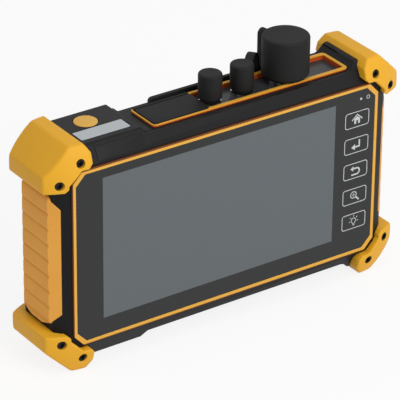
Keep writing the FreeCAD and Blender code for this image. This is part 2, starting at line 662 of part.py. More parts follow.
def bridge_outline(x, lug):
    """Short web from the axis of a cap out to its tether lug."""
    along = Vector(lug[0] - x, lug[1] - PORT_Y, 0)
    across = Vector(-along.y, along.x, 0).normalize() * 1.5
    start = Vector(x, PORT_Y, 0) + along * 0.75
    end = Vector(lug[0], lug[1], 0)
    return [((p + side * across).x, (p + side * across).y) for p, side in
            ((start, -1), (end, -1), (end, 1), (start, 1))]


def tether(lug, rail_x, arch_top):
    """Rubber band that arches from the rail behind the bay to the lug of a cap."""
    start = Vector(rail_x, RAIL_MIDDLE, 0)
    span = Vector(lug[0], lug[1], 0) - start
    reach = span.Length
    low, high = -STRAP_THICK / 2, STRAP_THICK / 2
    inner_round = reach / 2 - STRAP_THICK / 2 - 0.01
    outer_round = reach / 2 + STRAP_THICK / 2 - 0.01
    end = lug[2] + STRAP_GAP
    points = [
        (low, RAIL_TOP), (high, RAIL_TOP), (high, arch_top - STRAP_THICK, inner_round),
        (reach + low, arch_top - STRAP_THICK, inner_round), (reach + low, end), (reach + high, end),
        (reach + high, arch_top, outer_round), (low, arch_top, outer_round),
    ]
    band = prism("xz", points, -STRAP_WIDE / 2, STRAP_WIDE / 2)
    band.rotate(Vector(0, 0, 0), Vector(0, 0, 1), math.degrees(math.atan2(span.y, span.x)))
    return band.translated(start)


def flap():
    """Rubber door over the sockets, with a sealing lip that drops into the well."""
    plate = rounded_box((FLAP_SEAT_X[0] + 0.2, FLAP_SEAT_X[1] - 0.2), (FLAP_SEAT_Y[0] + 0.2, FLAP_AXIS[0] - 0.1),
                        (61.1, BAY_TOP), 1.4)
    lip = box((-41.4, -8.9), (-9.8, 7.0), (59.2, 61.5))
    lip = lip.cut([box((-40.0, -10.3), (-8.4, 5.6), (50, 61.1))])
    return fused([plate, lip])


def flap_hinge():
    """Fixed edge of the rubber door, held in the trim."""
    low, high = FLAP_SEAT_X[0] + 0.1, FLAP_SEAT_X[1] - 0.1
    front, back = FLAP_AXIS[0] + 0.1, FLAP_SEAT_Y[1] - 0.1
    points = [(low, front), (high, front), (high, back, 1.3), (low, back, 1.3)]
    return prism("xy", points, WAIST_HALF_HEIGHT, BAY_TOP)


def bay_parts():
    """Trim, floor, ports, caps, tethers and flap."""
    save("port_bay_trim", bay_trim())
    save("port_deck", port_deck())
    save("socket_well", socket_well())
    sockets()
    save("otdr_port", fibre_adapter(OTDR_X, 54.0, False))
    save("otdr_port_sleeve", split_sleeve(OTDR_X, 69.8))
    save("fault_light_port", fibre_adapter(VFL_X, 54.0, True))
    save("fault_light_port_sleeve", split_sleeve(VFL_X, 69.8))
    save("power_meter_port", meter_port())
    save("power_meter_guide", meter_guide())
    for name, x, radius, foot, top, inner_radius, inner_top, lug, rail_x, arch_top in CAPS:
        save(name + "_cap", dust_cap(x, radius, foot, top, inner_radius, inner_top, lug))
        save(name + "_cap_tether", tether(lug, rail_x, arch_top))
    rail = prism("xz", [(RAIL_X[0], 61.0), (RAIL_X[1], 61.0), (RAIL_X[1], RAIL_TOP, 2.4),
                        (RAIL_X[0], RAIL_TOP, 2.4)], RAIL_Y[0], RAIL_Y[1])
    save("tether_rail", rail)
    save("port_flap", flap())
    save("port_flap_hinge", flap_hinge())


def case_parts():
    """Case halves, seal, grips, bumpers and their screws."""
    save("front_bezel", front_bezel())
    save("rear_shell", rear_shell())
    save("connector_panel", connector_panel())
    seal = case_ring(PARTING_Y - SEAL_GROOVE, PARTING_Y).common(case_solid(-0.4))
    save("case_seal", cut(seal, grip_seats()))
    block = bumper_block()
    save("bumper_top_right", corner_bumper(block, 1, 1))
    save("bumper_top_left", corner_bumper(mirror_x(block), -1, 1))
    save("bumper_bottom_right", corner_bumper(mirror_z(block), 1, -1))
    save("bumper_bottom_left", corner_bumper(mirror_x(mirror_z(block)), -1, -1))
    screws = [bumper_screw(x, z, seat) for x, z, seat in corner_spots()]
    save("front_bumper_screws", Part.makeCompound(screws))
    save("rear_bumper_screws", Part.makeCompound([mirror_y(screw) for screw in screws]))
    grip = side_grip()
    save("grip_right", grip)
    save("grip_left", mirror_x(grip))
    save("identity_strip", strip_outline(64.2, 64.7))
    save("power_button", power_button())
    save("rear_stand", stand())
    save("stand_pin", stand_pin_rod(40.0))


os.makedirs("parts", exist_ok=True)
case_parts()
screen_parts()
board_parts()
back_covers()
bay_parts()
for node, count, volume, valid in SAVED:
    print(node, count, round(volume, 1), "valid" if valid else "NOT VALID")
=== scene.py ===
import json
import math

import bmesh
import bpy
import numpy as np
from mathutils import Matrix, Vector

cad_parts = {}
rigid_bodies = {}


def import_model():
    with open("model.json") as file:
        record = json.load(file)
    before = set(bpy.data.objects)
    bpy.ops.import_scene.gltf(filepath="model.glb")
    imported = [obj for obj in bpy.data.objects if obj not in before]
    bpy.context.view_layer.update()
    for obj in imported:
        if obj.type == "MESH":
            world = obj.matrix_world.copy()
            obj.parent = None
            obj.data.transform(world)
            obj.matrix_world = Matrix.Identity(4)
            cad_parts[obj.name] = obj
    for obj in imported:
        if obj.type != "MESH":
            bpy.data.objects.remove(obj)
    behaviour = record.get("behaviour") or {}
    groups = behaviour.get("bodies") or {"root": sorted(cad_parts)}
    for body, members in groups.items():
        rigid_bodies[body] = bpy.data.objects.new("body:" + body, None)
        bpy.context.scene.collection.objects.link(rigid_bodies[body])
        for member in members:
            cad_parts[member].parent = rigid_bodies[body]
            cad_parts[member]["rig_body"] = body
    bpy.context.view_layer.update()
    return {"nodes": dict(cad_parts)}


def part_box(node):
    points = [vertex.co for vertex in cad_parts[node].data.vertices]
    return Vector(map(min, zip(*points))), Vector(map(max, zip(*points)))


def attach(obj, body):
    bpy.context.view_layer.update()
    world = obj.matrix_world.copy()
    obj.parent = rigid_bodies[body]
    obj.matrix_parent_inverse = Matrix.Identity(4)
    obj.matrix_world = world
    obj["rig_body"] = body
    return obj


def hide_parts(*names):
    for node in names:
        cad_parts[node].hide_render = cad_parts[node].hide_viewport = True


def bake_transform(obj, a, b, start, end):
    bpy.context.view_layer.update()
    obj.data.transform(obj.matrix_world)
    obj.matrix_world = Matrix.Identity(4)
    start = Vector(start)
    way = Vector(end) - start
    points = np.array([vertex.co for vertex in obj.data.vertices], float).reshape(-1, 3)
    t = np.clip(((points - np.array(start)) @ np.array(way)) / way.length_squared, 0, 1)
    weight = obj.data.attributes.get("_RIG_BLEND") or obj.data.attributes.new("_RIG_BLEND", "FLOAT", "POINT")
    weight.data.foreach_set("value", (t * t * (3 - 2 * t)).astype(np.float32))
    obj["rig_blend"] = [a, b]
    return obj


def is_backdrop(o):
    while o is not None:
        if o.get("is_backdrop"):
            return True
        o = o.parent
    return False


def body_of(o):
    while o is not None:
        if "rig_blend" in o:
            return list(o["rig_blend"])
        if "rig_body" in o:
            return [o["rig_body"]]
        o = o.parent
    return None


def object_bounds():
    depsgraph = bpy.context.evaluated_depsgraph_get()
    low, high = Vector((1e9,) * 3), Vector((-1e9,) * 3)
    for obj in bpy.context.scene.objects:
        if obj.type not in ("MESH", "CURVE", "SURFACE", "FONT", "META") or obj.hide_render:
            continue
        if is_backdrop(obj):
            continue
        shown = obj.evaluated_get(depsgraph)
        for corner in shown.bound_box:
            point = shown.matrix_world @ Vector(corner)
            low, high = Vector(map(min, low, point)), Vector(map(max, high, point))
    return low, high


# Optical time domain reflectometer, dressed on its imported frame.
# Lengths are millimetres counted from the middle of the body: +X right, the screen faces -Y, +Z up.
# plant() lifts a finished mesh onto its feet and turns it into metres.

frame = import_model()

MM = 0.001
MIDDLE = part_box("bumper_top_left")[1].z / MM / 2
SHARP_ANGLE = 32

# ---- case -----------------------------------------------------------------------------
# The case is two trays moulded in black glass-filled plastic with a fine spark-eroded
# grain. They close on a thin rubber seal and are held by six screws from the back.


def linear(red, green, blue):
    """Colour in the shader's units from the usual 0 to 255 numbers."""
    share = np.array([red, green, blue]) / 255
    low = share / 12.92
    high = ((share + 0.055) / 1.055) ** 2.4
    return tuple(np.where(share < 0.04045, low, high)) + (1.0,)


class Wire:
    """A number that flows between shader nodes; sums and products of wires add Math nodes."""

    def __init__(self, finish, socket):
        self.finish = finish
        self.socket = socket

    def maths(self, operation, *values):
        """Result of a Math node."""
        return self.finish.node("Math", {"operation": operation}, values)

    def __add__(self, other):
        return self.maths("ADD", self, other)

    def __sub__(self, other):
        return self.maths("SUBTRACT", self, other)

    def __rsub__(self, other):
        return self.maths("SUBTRACT", other, self)

    def __mul__(self, other):
        return self.maths("MULTIPLY", self, other)

    def __lt__(self, other):
        return self.maths("LESS_THAN", self, other)

    def __gt__(self, other):
        return self.maths("GREATER_THAN", self, other)

    def __abs__(self):
        return self.maths("ABSOLUTE", self)

    def larger(self, other):
        """The larger of two numbers."""
        return self.maths("MAXIMUM", self, other)

    __radd__ = __add__
    __rmul__ = __mul__


class Finish:
    """A material: one Principled shader and the nodes that vary it over the surface."""

    def __init__(self, name, colour, roughness, **constants):
        self.material = bpy.data.materials.new(name)
        self.material.use_nodes = True
        self.tree = self.material.node_tree
        self.shader = self.tree.nodes["Principled BSDF"]
        self.colour = linear(*colour)
        self.feed("Base Color", self.colour)
        self.feed("Roughness", roughness)
        for socket, value in constants.items():
            self.feed(socket.replace("_", " "), value)
        self.place = self.node("TexCoord", {}, (), "Object")

    def node(self, kind, settings, values, output=0):
        """Any other node: its settings are made first, then each value is set or linked."""
        made = self.tree.nodes.new("ShaderNode" + kind)
        for key, value in settings.items():
            setattr(made, key, value)
        pairs = values.items() if isinstance(values, dict) else enumerate(values)
        for socket, value in pairs:
            if isinstance(value, Wire):
                self.tree.links.new(value.socket, made.inputs[socket])
            else:
                made.inputs[socket].default_value = value
        return Wire(self, made.outputs[output])

    def feed(self, socket, value):
        """Set a socket of the shader, or link a wire to it."""
        if isinstance(value, Wire):
            self.tree.links.new(value.socket, self.shader.inputs[socket])
        else:
            self.shader.inputs[socket].default_value = value

    def axes(self):
        """Object coordinates along x, y and z, in metres."""
        outputs = self.node("SeparateXYZ", {}, (self.place,)).socket.node.outputs
        return [Wire(self, outputs[axis]) for axis in "XYZ"]

    def noise(self, size, detail=2.0, stretch=(1, 1, 1)):
        """Soft noise from 0 to 1 whose lumps are about size millimetres across."""
        scaled = self.node("Mapping", {}, {"Vector": self.place, "Scale": stretch})
        return self.node("TexNoise", {}, {"Vector": scaled, "Scale": 1 / (size * MM), "Detail": detail})

    def mottle(self, other, amount):
        """Base colour that wanders from the finish's own colour towards another."""
        values = {0: amount, 6: self.colour, 7: linear(*other)}
        self.feed("Base Color", self.node("Mix", {"data_type": "RGBA"}, values, 2))

    def grain(self, size, depth, detail=2.0, stretch=(1, 1, 1)):
        """Fine relief: noise of the given lump size and depth, both in millimetres."""
        values = {"Height": self.noise(size, detail, stretch), "Strength": 1.0, "Distance": depth * MM}
        self.feed("Normal", self.node("Bump", {}, values, "Normal"))

    def wear(self, low, high, size):
        """Roughness that wanders between two values."""
        self.feed("Roughness", self.noise(size) * (high - low) + low)


def moulded_plastic(name, colour, roughness):
    """Black case plastic: spark-eroded grain, and a faint sheen that comes and goes."""
    finish = Finish(name, colour, roughness, Specular_IOR_Level=0.17)
    finish.mottle([c + 4 for c in colour], finish.noise(14, 4))
    finish.wear(roughness - 0.06, roughness + 0.08, 22)
    finish.grain(0.35, 0.02)
    return finish.material


def dress(piece, body, slot, material, *nodes):
    """Give a finished piece its material and its body, and hide the CAD nodes it stands for; the slot is not
    used.
    """
    piece.data.materials.clear()
    piece.data.materials.append(material)
    if body:
        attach(piece, body)
    if nodes:
        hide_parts(*nodes)
    return piece


def paint(node, material):
    """Show a CAD node as it is, in a material."""
    piece = frame["nodes"][node]
    piece.data.materials.clear()
    piece.data.materials.append(material)


def smooth(mesh, angle=SHARP_ANGLE):
    """Smooth shading, broken where two faces meet more sharply than the angle."""
    mesh.shade_smooth()
    mesh.set_sharp_from_angle(angle=math.radians(angle))


def merged(node):
    """Mesh of a CAD node with its corners merged."""
    mesh = frame["nodes"][node].data.copy()
    if "custom_normal" in mesh.attributes:
        mesh.attributes.remove(mesh.attributes["custom_normal"])
    work = bmesh.new()
    work.from_mesh(mesh)
    bmesh.ops.remove_doubles(work, verts=work.verts, dist=0.002 * MM)
    work.to_mesh(mesh)
    work.free()
    smooth(mesh)
    return mesh


def eased(node, width, slot, material, shortest=0.0, sharp=None):
    """Copy of a CAD node whose edges are rounded by a narrow bevel, as a mould leaves them. Edges shorter
    than the shortest, in millimetres, stay sharp, for they are the rims of small holes, and so do the
    edges inside the sharp block, which is given by two of its corners."""
    mesh = merged(node)
    work = bmesh.new()
    work.from_mesh(mesh)
    weight = work.edges.layers.float.new("bevel_weight_edge")
    for edge in work.edges:
        turned_enough = edge.calc_face_angle(0.0) > math.radians(SHARP_ANGLE)
        middle = np.array((edge.verts[0].co + edge.verts[1].co) / 2) / MM - (0, 0, MIDDLE)
        spared = sharp is not None and np.all(middle > sharp[0]) and np.all(middle < sharp[1])
        edge[weight] = float(turned_enough and not spared and edge.calc_length() > shortest * MM)
    work.to_mesh(mesh)
    work.free()
    piece = bpy.data.objects.new(node + "_moulding", mesh)
    bpy.context.scene.collection.objects.link(piece)
    bevel = piece.modifiers.new("eased", "BEVEL")
    bevel.width = width * MM
    bevel.segments = 2
    bevel.limit_method = "WEIGHT"
    bevel.use_clamp_overlap = False
    bevel.loop_slide = False
    bevel.harden_normals = True
    return dress(piece, body_of(frame["nodes"][node])[0], slot, material, node)


RIM_STEP = 1.2
STAND_RECESS = ((-45.0, 15.8, -47.0), (45.0, 21.0, 30.0))
case_plastic = moulded_plastic("case_plastic", (12, 12, 13), 0.48)
eased("front_bezel", 0.5, "case_plastic", case_plastic, RIM_STEP)
eased("rear_shell", 0.5, "case_plastic", case_plastic, RIM_STEP, STAND_RECESS)
eased("connector_panel", 0.3, "case_plastic", case_plastic)

seal_rubber = Finish("seal_rubber", (24, 24, 24), 0.7)
seal_rubber.grain(0.2, 0.01)
paint("case_seal", seal_rubber.material)

# ---- corner bumpers -------------------------------------------------------------------
# Four blocks of orange rubber, moulded over a stiff core, clamp the corners of the case.
# Their plates are crowned, every rim is rounded, and two screws go through each plate.

BUMPER_CORNERS = [
    (117.5, 43.6, 1.5), (117.5, 53.5, 3.0), (102.0, 68.75, 3.0), (93.5, 68.75, 1.5), (90.0, 63.5, 1.5),
    (90.0, 57.5, 1.5), (92.5, 55.0, 1.5), (97.0, 55.0, 2.0), (104.3, 47.5, 2.0), (104.3, 45.5, 1.0),
    (106.5, 43.6, 1.0),
]
BUMPER_HEART = (105.0, 57.3)
CROWN_TOP = (92.0, 48.0)
CROWN_PROUD = 25.0
CROWN_RADIUS = 45.0
BUMPER_RIM = 1.0
SCREW_SEATS = [(97.3, 59.3, 21.2), (109.4, 48.6, 19.6)]
SCREW_HOLE = 2.6
CUT_PAST = 30.0
CORNER_FROM = (88.0, 42.0)


def outline(corners, steps=5):
    """Closed outline through corners (a, b, radius). A corner turns by an arc that touches both its sides:
    its centre lies on the bisector, radius / sin(half the angle) from the corner."""
    points = np.array([c[:2] for c in corners], float)
    back = np.roll(points, 1, 0) - points
    ahead = np.roll(points, -1, 0) - points
    back /= np.linalg.norm(back, axis=1)[:, None]
    ahead /= np.linalg.norm(ahead, axis=1)[:, None]
    half = np.arccos(np.clip((back * ahead).sum(1), -1, 1)) / 2
    bisector = back + ahead
    bisector /= np.linalg.norm(bisector, axis=1)[:, None]
    radius = np.array([c[2] if len(c) > 2 else 0.0 for c in corners])
    centre = points + bisector * (radius / np.sin(half))[:, None]
    sweep = np.pi / 2 - half
    side = np.sign(back[:, 0] * ahead[:, 1] - back[:, 1] * ahead[:, 0])
    turn = np.linspace(-1, 1, steps)[None, :] * (sweep * -side)[:, None]
    out = -bisector
    arc_a = out[:, :1] * np.cos(turn) - out[:, 1:] * np.sin(turn)
    arc_b = out[:, :1] * np.sin(turn) + out[:, 1:] * np.cos(turn)
    arc = np.stack([arc_a, arc_b], -1) * radius[:, None, None] + centre[:, None, :]
    kept = [arc[i] if radius[i] > 0 else points[i:i + 1] for i in range(len(points))]
    return np.concatenate(kept)


def inset(loop, distance):
    """The loop moved inwards: each point slides along the mean of its sides' normals, by the distance
    divided by the cosine of half the turn."""
    ahead = np.roll(loop, -1, 0) - loop
    ahead /= np.linalg.norm(ahead, axis=1)[:, None]
    back = np.roll(ahead, 1, 0)
    normal = np.stack([-(ahead + back)[:, 1], (ahead + back)[:, 0]], 1)
    normal /= np.linalg.norm(normal, axis=1)[:, None]
    straight = np.stack([-ahead[:, 1], ahead[:, 0]], 1)
    area = (loop[:, 0] * np.roll(loop[:, 1], -1) - loop[:, 1] * np.roll(loop[:, 0], -1)).sum()
    return loop + normal * (distance * np.sign(area) / (normal * straight).sum(1))[:, None]


def refined(loop, longest):
    """The loop with its long sides cut into equal parts no longer than the given length."""
    ahead = np.roll(loop, -1, 0) - loop
    parts = np.ceil(np.linalg.norm(ahead, axis=1) / longest).astype(int).clip(1)
    start = np.repeat(np.arange(len(loop)), parts)
    order = np.arange(parts.sum()) - np.repeat(np.cumsum(parts) - parts, parts)
    return loop[start] + ahead[start] * (order / parts[start])[:, None]


def plant(name, points, faces, angle=SHARP_ANGLE):
    """Object from points in millimetres about the body's middle, with its faces turned outwards."""
    mesh = bpy.data.meshes.new(name)
    placed = (np.asarray(points, float) + (0, 0, MIDDLE)) * MM
    mesh.from_pydata(placed.tolist(), [], faces)
    work = bmesh.new()
    work.from_mesh(mesh)
    bmesh.ops.remove_doubles(work, verts=work.verts, dist=0.0005 * MM)
    bmesh.ops.recalc_face_normals(work, faces=work.faces)
    work.to_mesh(mesh)
    work.free()
    smooth(mesh, angle)
    piece = bpy.data.objects.new(name, mesh)
    bpy.context.scene.collection.objects.link(piece)
    return piece


def ring_faces(rings, count, close_ends=True, first=0):
    """Faces of a skin whose ring i is points i * count to (i + 1) * count: quads between the rings,
    and one face over each end."""
    i, j = np.meshgrid(np.arange(rings - 1), np.arange(count), indexing="ij")
    a = i * count + j
    b = i * count + (j + 1) % count
    quads = np.stack([a, b, b + count, a + count], -1).reshape(-1, 4) + first
    faces = quads.tolist()
    if close_ends:
        faces.append((np.arange(count)[::-1] + first).tolist())
        faces.append((np.arange(count) + (rings - 1) * count + first).tolist())
    return faces


def pad_rings(loop, low, high, rim, heart=None, arc_steps=4, face_steps=1):
    """Rings of a pad with rounded rims, from the middle of its low face to the middle of its high face.
    low and high give the level over (a, b). On the rim arc at angle t the loop is inset by
    rim * (1 - cos t) and lies rim * (1 - sin t) inside the face. On a face the rings shrink to the heart."""
    heart = loop.mean(0) if heart is None else np.array(heart)
    face_loop = inset(loop, rim)
    rings = []
    for share in np.linspace(0.02, 1, face_steps + 1)[:-1]:
        flat = heart + (face_loop - heart) * share
        rings.append((flat, np.zeros(len(loop))))
    for t in np.linspace(np.pi / 2, 0, arc_steps + 1):
        rings.append((inset(loop, rim * (1 - np.cos(t))), np.full(len(loop), rim * (1 - np.sin(t)))))
    lower = [np.column_stack([flat, low(*flat.T) + sink]) for flat, sink in rings]
    upper = [np.column_stack([flat, high(*flat.T) - sink]) for flat, sink in rings]
    return np.array(lower + upper[::-1])


def flat_at(level):
    """Level of a flat face, for pad_rings."""
    return lambda a, b: np.full(len(a), level)


def crown(x, z):
    """How far the crowned bumper plate stands from the middle plane: a sphere about the crown's top."""
    away = (np.abs(x) - CROWN_TOP[0]) ** 2 + (np.abs(z) - CROWN_TOP[1]) ** 2
    return CROWN_PROUD - CROWN_RADIUS + np.sqrt(CROWN_RADIUS ** 2 - away)


def carved(piece, cutters):
    """The piece with every cutter taken away, as one plain mesh."""
    for cutter in cutters:
        modifier = piece.modifiers.new("cut", "BOOLEAN")
        modifier.operation = "DIFFERENCE"
        modifier.solver = "EXACT"
        modifier.object = cutter
    bpy.context.view_layer.update()
    done = bpy.data.meshes.new_from_object(piece.evaluated_get(bpy.context.evaluated_depsgraph_get()))
    piece.modifiers.clear()
    piece.data = done
    for cutter in cutters:
        bpy.data.objects.remove(cutter)
    smooth(done)
    return piece


def rod(name, x, z, low, high, radius, steps=32):
    """Cylinder that runs front to back, as a cutter."""
    turn = np.linspace(0, 2 * np.pi, steps, endpoint=False)
    flat = np.stack([x + radius * np.cos(turn), z + radius * np.sin(turn)], 1)
    ends = [np.column_stack([flat[:, 0], np.full(steps, y), flat[:, 1]]) for y in (low, high)]
    return plant(name, np.concatenate(ends), ring_faces(2, steps))


def case_corner(side, level):
    """Convex block over the case's own corner, as a cutter."""
    spots = []
    for node in ("front_bezel", "rear_shell"):
        mesh = frame["nodes"][node].data
        flat = np.zeros(len(mesh.vertices) * 3, np.float32)
        mesh.vertices.foreach_get("co", flat)
        spots.append(flat.reshape(-1, 3) / MM - (0, 0, MIDDLE))
    spots = np.concatenate(spots)
    spots = spots[(spots[:, 0] * side > CORNER_FROM[0]) & (spots[:, 2] * level > CORNER_FROM[1])]
    spots = np.unique(spots.round(3), axis=0)
    work = bmesh.new()
    for spot in (spots + (0, 0, MIDDLE)) * MM:
        work.verts.new(spot)
    hull = bmesh.ops.convex_hull(work, input=work.verts)
    bmesh.ops.delete(work, geom=hull["geom_interior"], context="VERTS")
    mesh = bpy.data.meshes.new("case_corner")
    work.to_mesh(mesh)
    work.free()
    piece = bpy.data.objects.new("case_corner", mesh)
    bpy.context.scene.collection.objects.link(piece)
    return piece


def rubber(name, colour, deep, roughness):
    """Moulded rubber: a matt skin with fine grain, a shade deeper where it has been handled."""
    finish = Finish(name, colour, roughness, Specular_IOR_Level=0.25)
    finish.mottle(deep, finish.noise(26, 3) * 0.5)
    finish.wear(roughness - 0.05, roughness + 0.07, 18)
    finish.grain(0.5, 0.025)
    return finish.material


orange_rubber = rubber("orange_rubber", (227, 168, 38), (217, 156, 32), 0.5)
bumper_loop = refined(outline(BUMPER_CORNERS, 6), 3.0)
for level, level_name in ((1, "top"), (-1, "bottom")):
    for side, side_name in ((-1, "left"), (1, "right")):
        name = "bumper_" + level_name + "_" + side_name
        rings = pad_rings(bumper_loop, lambda x, z: -crown(x, z), crown, BUMPER_RIM, BUMPER_HEART, 4, 7)
        points = rings[:, :, [0, 2, 1]] * (side, 1, level)
        block = plant(name + "_rubber", points.reshape(-1, 3), ring_faces(*points.shape[:2]))
        holes = [case_corner(side, level)]
        for x, z, seat in SCREW_SEATS:
            holes.append(rod("hole", side * x, level * z, -CUT_PAST, -seat, SCREW_HOLE))
            holes.append(rod("hole", side * x, level * z, seat, CUT_PAST, SCREW_HOLE))
        dress(carved(block, holes), "housing", "orange_rubber", orange_rubber, name)

# ---- bumper screws --------------------------------------------------------------------
# Black-oxide steel socket screws, sunk in the bumper plates: eight at the front and eight
# at the back. The head is a plain cylinder with a chamfered rim and a hexagon socket.

HEAD_RADIUS = 2.4
HEAD_HIGH = 1.3
SHANK_RADIUS = 1.4
SHANK_END = 14.6
HEAD_STEPS = 36
SOCKET_ACROSS = 2.5
SOCKET_DEEP = 1.0


def hexagon(turn, across):
    """Radius of a hexagon at each angle: half the width across flats over the cosine from the flat."""
    return across / 2 / np.cos((turn + np.pi / 6) % (np.pi / 3) - np.pi / 6)


def socket_screw(x, z, seat, facing):
    """Rings of one screw from its shank to the floor of its socket; facing is -1 at the front."""
    turn = np.linspace(0, 2 * np.pi, HEAD_STEPS, endpoint=False)
    steps = [
        (SHANK_RADIUS, SHANK_END - seat), (SHANK_RADIUS, 0.0), (HEAD_RADIUS, 0.0),
        (HEAD_RADIUS, HEAD_HIGH - 0.3), (HEAD_RADIUS - 0.3, HEAD_HIGH), (SOCKET_ACROSS * 0.62, HEAD_HIGH),
    ]
    rings = [(np.full(HEAD_STEPS, radius), height) for radius, height in steps]
    socket = hexagon(turn, SOCKET_ACROSS)
    rings += [(socket, HEAD_HIGH - 0.05), (socket, HEAD_HIGH - SOCKET_DEEP)]
    across, up = np.cos(turn), np.sin(turn)
    return np.array([np.column_stack([x + r * across, np.full(HEAD_STEPS, facing * (seat + h)), z + r * up])
                     for r, h in rings])


screw_steel = Finish("screw_steel", (30, 29, 29), 0.3, Metallic=0.75)
screw_steel.wear(0.22, 0.38, 1.5)
screw_steel.grain(0.3, 0.006)
for facing, name in ((-1, "front_bumper_screws"), (1, "rear_bumper_screws")):
    points, faces = [], []
    for side in (-1, 1):
        for level in (-1, 1):
            for x, z, seat in SCREW_SEATS:
                rings = socket_screw(side * x, level * z, seat, facing)
                faces += ring_faces(*rings.shape[:2], first=sum(len(p) for p in points))
                points.append(rings.reshape(-1, 3))
    dress(plant(name + "_socketed", np.concatenate(points), faces), "housing", "screw_steel",
          screw_steel.material, name)

# ---- side grips -----------------------------------------------------------------------
# Pads of a softer, lighter rubber bonded over the side walls and their bevels. Their outer
# face is laid out in courses like brickwork, each a little bulged, with a lip at its foot.

GRIP_PLAN = [(17.8, 107.2), (12.7, 112.3), (0.0, 112.3), (-12.7, 112.3), (-17.8, 107.2)]
GRIP_ENDS = [(0.0, 41.0), (5.0, 41.0), (12.7, 38.4), (17.8, 32.0)]
COURSE = 9.5
COURSE_GROOVE = 0.3
COURSE_BULGE = 0.65
BRICK_HALF_DEPTH = 12.3
BRICK_FADE = 0.8
JOINT_WIDTH = 0.4
GRIP_RIM = 1.0
GRIP_RIM_SHARE = 0.012
GRIP_BACK = 103.6
FIELD_ANGLE = 40


def grip():
    """Height field over the right side wall: v runs round the plan, and the share up the pad to the line
    of its ends. The plan sets the face out. Each joint pulls it in by a soft notch,
    exp(-(distance / width)^2), and a low arch bulges each course."""
    plan = np.array(GRIP_PLAN)
    ends = np.array(GRIP_ENDS)
    run = np.concatenate([[0], np.cumsum(np.hypot(*np.diff(plan, axis=0).T))])
    v = np.unique(np.concatenate([run, np.linspace(0, run[-1], 93)]))
    y = np.interp(v, run, plan[:, 0])
    out = np.interp(v, run, plan[:, 1])
    share = np.linspace(-1, 1, 241)
    top = np.interp(np.abs(y), ends[:, 0], ends[:, 1])
    z = share[:, None] * top[None, :]
    y = np.broadcast_to(y, z.shape)
    on_face = np.clip((BRICK_HALF_DEPTH + BRICK_FADE - np.abs(y)) / BRICK_FADE, 0, 1)
    joint = (z / COURSE + 0.5) % 1.0 - 0.5
    notch = np.exp(-((joint * COURSE) / JOINT_WIDTH) ** 2)
    row = np.floor(z / COURSE + 100)
    middle = np.exp(-(y / JOINT_WIDTH) ** 2) * (row % 2) * (1 - notch)
    arch = COURSE_BULGE * (1 - (1 - 2 * np.abs(joint)) ** 4)
    x = out[None, :] + on_face * (arch - COURSE_BULGE - COURSE_GROOVE * np.maximum(notch, middle))
    rim = np.clip((1 - np.abs(share)) / GRIP_RIM_SHARE, 0, 1)
    x = x - (1 - np.sqrt(1 - (1 - rim) ** 2))[:, None] * GRIP_RIM
    return np.stack([x, y, z], -1)


def field_piece(name, face, back):
    """Closed piece from a height field: its edge is carried back to a plane and closed there."""
    rows, columns = face.shape[:2]
    index = np.arange(rows * columns).reshape(rows, columns)
    quads = np.stack([index[:-1, :-1], index[:-1, 1:], index[1:, 1:], index[1:, :-1]], -1)
    edge = np.concatenate([index[0, :-1], index[:-1, -1], index[-1, :0:-1], index[:0:-1, 0]])
    points = face.reshape(-1, 3)
    root = points[edge].copy()
    root[:, 0] = back
    under = rows * columns + np.arange(len(edge))
    skirt = np.stack([edge, np.roll(edge, -1), np.roll(under, -1), under], -1)
    faces = quads.reshape(-1, 4).tolist() + skirt.tolist() + [under.tolist()]
    return plant(name, np.concatenate([points, root]), faces, FIELD_ANGLE)


grip_rubber = rubber("grip_rubber", (230, 164, 70), (220, 150, 58), 0.6)
for side, side_name in ((-1, "left"), (1, "right")):
    pad = field_piece("grip_" + side_name + "_courses", grip() * (side, 1, 1), side * GRIP_BACK)
    dress(pad, "housing", "grip_rubber", grip_rubber, "grip_" + side_name)

# ---- screen ---------------------------------------------------------------------------
# One sheet of chemically hardened glass over the panel and the touch keys, printed black
# on its back round the display window, and set in a thin orange sealing line.

WINDOW_MIDDLE = (-5.2, 2.6)
WINDOW_HALF = (77.1, 42.95)
GLASS_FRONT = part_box("touch_glass")[0].y / MM
PRINT_THICK = 0.05
# Past this distance outside the glass the sealing line is painted dark red as shade.
LINE_SHADED_PAST = 1.75


def display_glass():
    """Glass finish: black print, and a grey display window whose edges are set by Object coordinates."""
    finish = Finish("display_glass", (20, 21, 23), 0.12, Specular_IOR_Level=0.45)
    x, _, z = finish.axes()
    inside = abs(x - WINDOW_MIDDLE[0] * MM) < WINDOW_HALF[0] * MM
    inside = inside * (abs(z - (WINDOW_MIDDLE[1] + MIDDLE) * MM) < WINDOW_HALF[1] * MM)
    finish.mottle((85, 92, 95), inside)
    finish.wear(0.08, 0.13, 60)
    return finish.material


paint("touch_glass", display_glass())


def sealing_line():
    """Orange rubber whose outer edge carries painted shade in dark red, standing for the shade on the side
    of the raised line; set by the distance outside the glass.
    """
    finish = Finish("line_rubber", (222, 166, 62), 0.5, Specular_IOR_Level=0.3)
    x, _, z = finish.axes()
    low, high = (np.array(corner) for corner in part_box("touch_glass"))
    middle, half = (low + high) / 2, (high - low) / 2
    past_side = abs(x - middle[0]) - half[0]
    past_end = abs(z - middle[2]) - half[2]
    # Painted shade: the outer edge of the line is dark red.
    finish.mottle((112, 62, 30), past_side.larger(past_end) > LINE_SHADED_PAST * MM)
    return finish.material


eased("glass_sealing_line", 0.2, "seal_line", sealing_line())

# ---- touch keys -----------------------------------------------------------------------
# Five touch keys and two lamps are printed on the glass in light grey ink: a frame and a
# sign for each key, and above them a dot and a ring.

KEY_SIZE = (16.3, 9.4)
KEY_X = 87.15
KEY_FIRST_Z = 33.1
KEY_PITCH = 16.2
KEY_CORNER = 1.5
INK_LINE = 0.45
INK_FRONT = GLASS_FRONT - PRINT_THICK
LAMP_X = (89.4, 94.4)
LAMP_Z = 45.2


